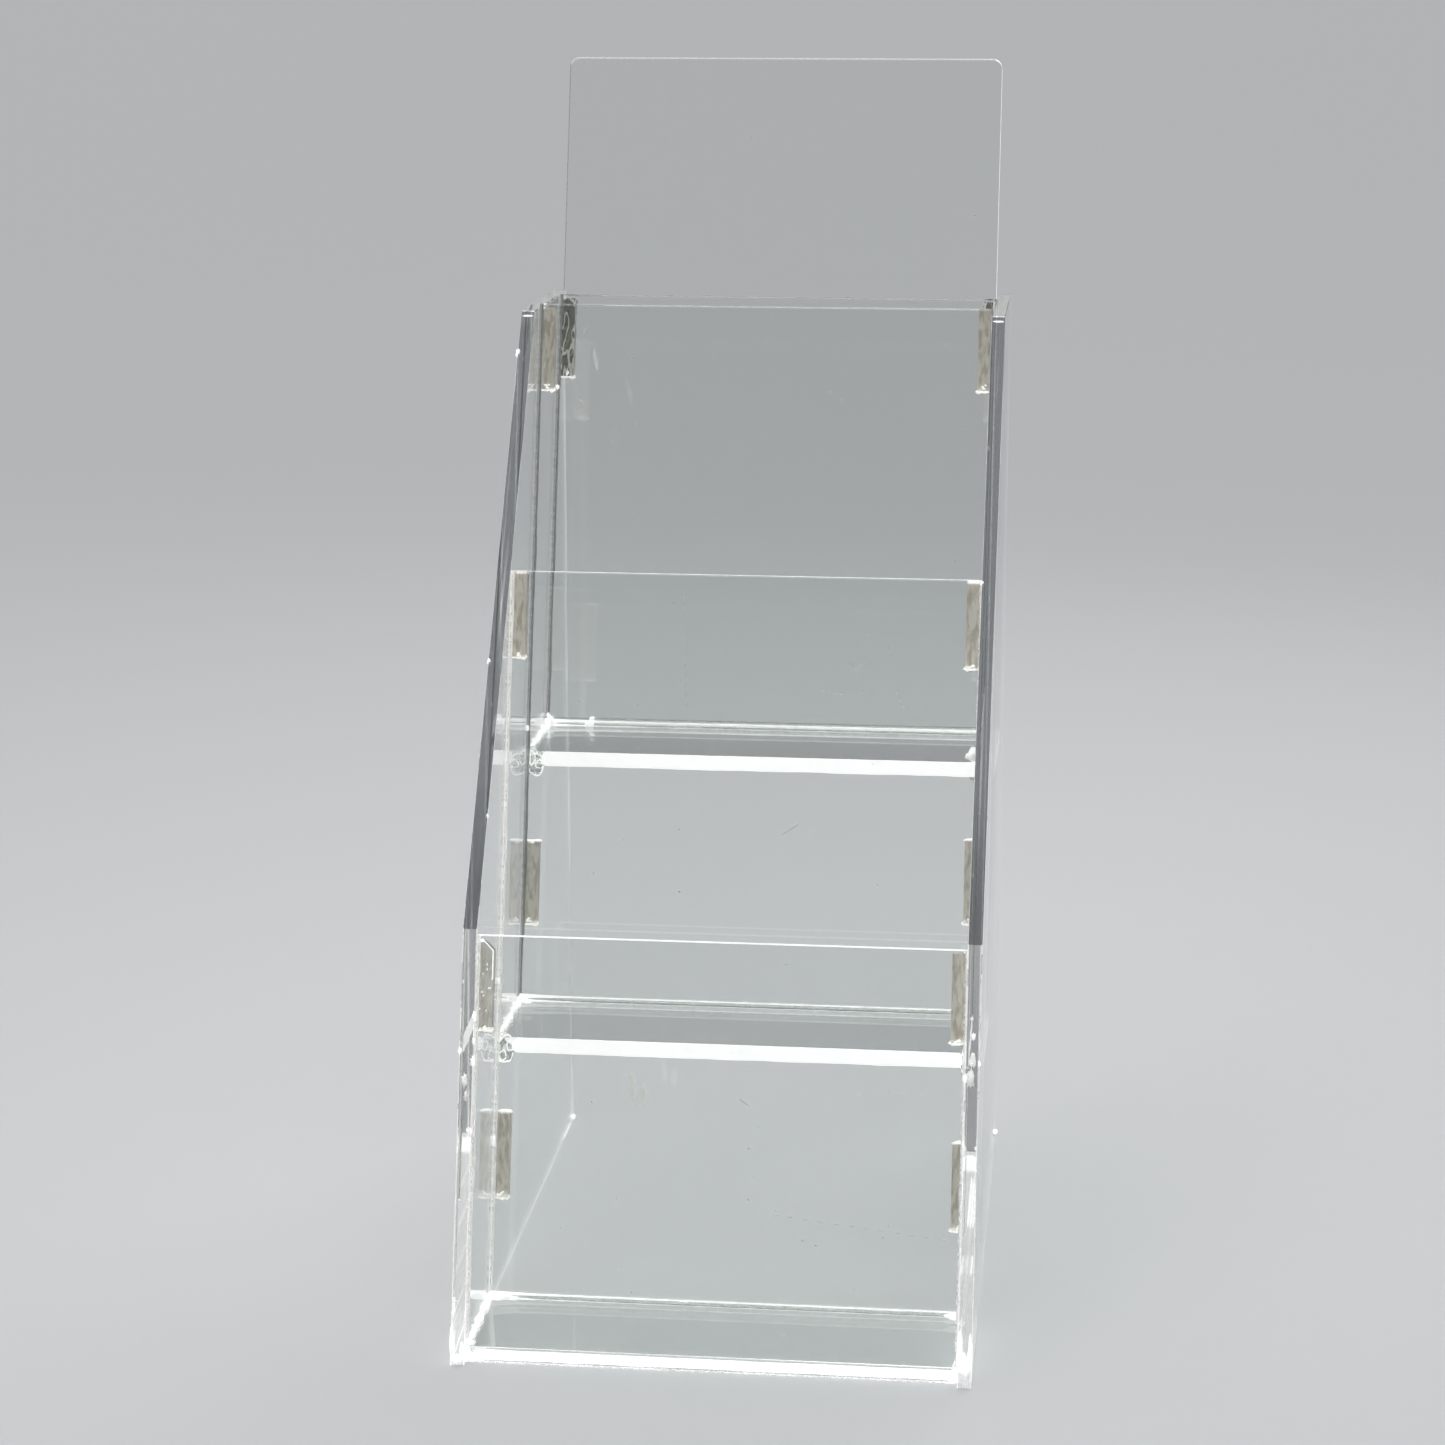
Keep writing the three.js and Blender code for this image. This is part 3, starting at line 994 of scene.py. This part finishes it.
def rear_pads(milky):
    """The smears in the side panels' undersides, and drops on the corners behind them. From the
    front the smears show as white patches and streaks low on the panels' front edges, which look
    down the length of the underside."""
    for node, smears in UNDERSIDE_SMEARS.items():
        low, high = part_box(node)
        grid = bmesh.new()
        for near, far, offset, wide in smears:
            middle = (low.x + high.x) / 2 + offset * MM
            blunt = 0.6 if wide > 1 else 0.15
            rings = []
            for t in stations(16):
                y = high.y - (far + (near - far) * t) * MM
                half = wide * (1 + 0.1 * wander(len(node), t, 6)) * MM
                half *= min(1, blunt + 8 * t * (1 - t))
                rings.append([
                    (middle - half, y, 0.04 * MM), (middle + half, y, 0.04 * MM),
                    (middle + half * 0.9, y, 0.4 * MM), (middle - half * 0.9, y, 0.4 * MM),
                ])
            sweep(grid, rings)
        for x in (low.x, high.x):
            centre = (x, high.y - 0.1 * MM, 0.75 * MM)
            blob(grid, centre, (0.55 * MM, 0.55 * MM, 0.65 * MM), len(node), 0.3)
        name = node.removeprefix("side_")
        add_piece(f"cement_pad_{name}", finish_mesh("pad", grid, False), milky)


# Drops of cement on the ends of the leaning sheets: sheet, side, height up the slope and half
# height, in millimetres.
END_DROPS = [
    ("divider_lower", -1, 32.6, 1.3), ("divider_lower", -1, 67, 0.7),
    ("divider_upper", -1, 60, 0.6), ("divider_lower", 1, 90, 0.8),
    ("divider_upper", 1, 122, 0.7), ("back_panel", -1, 78, 0.6),
]


def end_drops(milky):
    """The drops listed above, in one piece."""
    grid = bmesh.new()
    for number, (name, side, along, half) in enumerate(END_DROPS):
        sheet = LeaningSheet(name)
        place = sheet.point(inner_face(side) - side * 0.25 * MM, 0.1 * MM, along * MM)
        blob(grid, place, (0.38 * MM, 0.4 * MM, half * MM), number + 80, 0.5)
    add_piece("cement_drops", finish_mesh("drops", grid), milky)


def bar_outline(material):
    """White cement along the top, the chamfer and the inner corner of the clear bar, and crumbs."""
    node = "bar_front_left"
    low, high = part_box(node)
    sheet = LeaningSheet(LEANING[0])
    top = (high.z - sheet.point(0, sheet.thickness, 0).z) / UP_SLOPE.z
    through = sheet.thickness + 0.13 * MM
    corner = high.x - 0.05 * MM
    path = [(low.x + 0.2 * MM, top), (high.x - 1.9 * MM, top), (corner, top - 1.85 * MM),
            (corner, top - 8 * MM)]
    grid = bmesh.new()
    for (x, along), (next_x, next_along) in zip(path, path[1:]):
        way = Vector((next_x - x, next_along - along))
        cross = Vector((-way.y, way.x)).normalized() * 0.13 * MM
        rings = []
        for i in range(9):
            at = Vector((x, along)) + way * i / 8
            wide = cross * (1 + 0.6 * wander(3, at.x * 900 + at.y * 700, 1))
            rings.append([
                tuple(sheet.point(at.x + wide.x, through, at.y + wide.y)),
                tuple(sheet.point(at.x - wide.x, through, at.y - wide.y)),
                tuple(sheet.point(at.x, through + 0.12 * MM, at.y)),
            ])
        sweep(grid, rings)
    draw = random.Random(3)
    for crumb in range(9):
        x = draw.uniform(low.x + 0.4 * MM, high.x - 0.4 * MM)
        along = top - draw.uniform(4, 16) * MM
        blob(grid, sheet.point(x, through, along), (0.13 * MM, 0.08 * MM, 0.2 * MM), crumb, 0.7)
    add_piece("cement_outline_front", finish_mesh("outline", grid, False), material)


def edge_chips(white, crazed):
    """Small chips and drops on the side panels' front edges."""
    for name, node, height, corner, size in CHIPS:
        low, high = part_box(node)
        x = (low.x + high.x) / 2 + corner * ((high.x - low.x) / 2 - 0.1 * MM)
        grid = bmesh.new()
        height *= MM
        centre = (x, side_front(height) + 0.15 * MM, height)
        half = (0.42 * size * MM, 0.24 * size * MM, 0.9 * size * MM)
        blob(grid, centre, half, ord(name), 1.25, 2.6)
        material = crazed if name in CRAZED_CHIPS else white
        add_piece(f"chip_{name}", finish_mesh("chip", grid, False), material)


def side_outline():
    """The distinct (height, y) corners of a side panel, from the bottom up."""
    mesh = frame["nodes"]["side_left"].data
    return sorted({(round(v.co.z, 5), round(v.co.y, 5)) for v in mesh.vertices})


def side_front(height):
    """The y of the side panels' front edge at a height."""
    corners = side_outline()
    foot, kink, top = corners[0], corners[2], corners[3]
    start, end = (foot, kink) if height < kink[0] else (kink, top)
    share = (height - start[0]) / (end[0] - start[0])
    return start[1] + (end[1] - start[1]) * share


# ---------------------------------------------------------------- the rack

WELD_DISTANCE = 0.01 * MM


def bevel_width(name):
    """How wide the corners of a CAD node are worn."""
    if name.startswith("bar") or name in LEANING[2:]:
        return 0.14 * MM
    return 0.2 * MM if name.startswith("side") else 0.28 * MM


def dress_nodes():
    """Gives every CAD node its acrylic and a small bevel."""
    kink, top = side_outline()[2:4]
    run = Vector((0, top[1] - kink[1], top[0] - kink[0])).normalized()
    upper_front = run.cross(X)
    # Painted light and shade on the edges: the glow values are emission, and the second lists paint
    # edges dark. The lower leaning sheets' top edges glow while the upper sheets' top edges are
    # painted dark; the header's right end glows while its left end is painted dark, and its top and
    # bottom edges both glow and are painted a little dark; the side panels' upper front edges,
    # front and rear edges and undersides are painted dark, while their undersides and rear edges
    # also glow, the rear edges less low down; the shelves' ends and rear edges glow faintly.
    foot = (-UP_SLOPE, False, 0.6, 0.1)
    low_sheet = sheet_acrylic(
        "acrylic_leaning", [(X, True, 0.7, 0.06), (UP_SLOPE, False, 0.3, 0.42), foot],
    )
    high_sheet = sheet_acrylic("acrylic_upper", [(X, True, 0.7, 0.02), foot],
                               [(UP_SLOPE, False, 0.5, WITH_BEVELS)])
    level = sheet_acrylic("acrylic_shelf", [(X, True, 0.7, 0.05), (Y, False, 0.7, 0.05)])
    upright = sheet_acrylic(
        "acrylic_side", [(-Z, False, 0.05, 0.2), (Y, False, 0.6, 0.5, REAR_FADE)],
        [(upper_front, True, 1.0), (THROUGH, True, 0.5), (Y, True, 0.8), (-Z, False, 0.25)],
        0.3, (3, 0.08, 0.2), 0.4,
    )
    loose = sheet_acrylic(
        "acrylic_header",
        [(X, False, 0.2, 0.9), (-X, False, 0.5, 0.0), (UP_SLOPE, True, 0.4, 0.28)],
        [(-X, False, 0.7, WITH_BEVELS), (UP_SLOPE, True, 0.3)], contrast=0.4,
    )
    bar = bar_acrylic("frosted_bar", (0.54, 0.49, 0.42), (0.88, 0.84, 0.77), 0.6, 0.42)
    slot_bar = bar_acrylic("slot_bar", (0.13, 0.125, 0.10), (0.30, 0.29, 0.25), 0.8, 0.12, 0.04)
    clear_bar = bar_acrylic("clear_bar", (0.66, 0.62, 0.55), (0.86, 0.83, 0.77), 0.85, 0.16)
    # The first of these that a node's name starts with gives its material.
    looks = {
        "side": upright, "shelf": level, "header": loose, "pocket_front": low_sheet,
        "divider_lower": low_sheet, "divider_upper": high_sheet, "back_panel": high_sheet,
        "bar_slot": slot_bar, "bar_front_left": clear_bar, "bar": bar,
    }
    for name, node in frame["nodes"].items():
        material = next(look for start, look in looks.items() if name.startswith(start))
        node.data.materials.clear()
        node.data.materials.append(material)
        weld = node.modifiers.new("weld", "WELD")
        weld.merge_threshold = WELD_DISTANCE
        bevel = node.modifiers.new("bevel", "BEVEL")
        bevel.width = bevel_width(name)
        bevel.segments = 2
        bevel.limit_method = "ANGLE"


add_camera()
add_studio()
dress_nodes()
milky = milky_cement()
glossy = clear_cement()
# The film on the lower sheets and the crazed cement get a painted glow; the film on the upper
# sheets is a copy painted grey, as painted shade.
film = film_cement("film_cement", 0.5, glow=0.14)
film_painted_shade = film_cement("film_painted_shade", 0.5, (0.46, 0.47, 0.47))
wormy = film_cement("wormy_cement", 1.0)
crazed = film_cement("crazed_cement", 2.2, (0.95, 0.95, 0.94), 0.2)
for index, shelf in enumerate(SHELVES):
    shelf_front_seam(index, shelf, LeaningSheet(LEANING[index]), milky)
    for side in (-1, 1):
        shelf_end_seam(index, shelf, side, milky)
    sheet_foot_bead(index, LEANING[index + 1], shelf, glossy)
    sheet_foot_line(index, LEANING[index + 1], shelf, milky)
    corner_lumps(index, shelf, LeaningSheet(LEANING[index + 1]), glossy, milky, crazed)
corner_outlines(milky)
foot_lumps(milky)
for sheet_name in LEANING:
    for side in (-1, 1):
        sheet_end_film(sheet_name, side, film if sheet_name in LEANING[:2] else film_painted_shade)
for node in frame["nodes"]:
    if node.startswith("bar"):
        bar_cement(node, wormy, milky)
add_wear(scratch_white(), smear_haze())
edge_chips(milky, crazed)
top_dashes(milky)
front_edge_drips(milky)
rear_pads(milky)
end_drops(milky)
bar_outline(milky)

scene.cycles.max_bounces = 32
scene.cycles.transmission_bounces = 32
scene.cycles.glossy_bounces = 16
scene.cycles.transparent_max_bounces = 64
scene.view_settings.view_transform = "Standard"
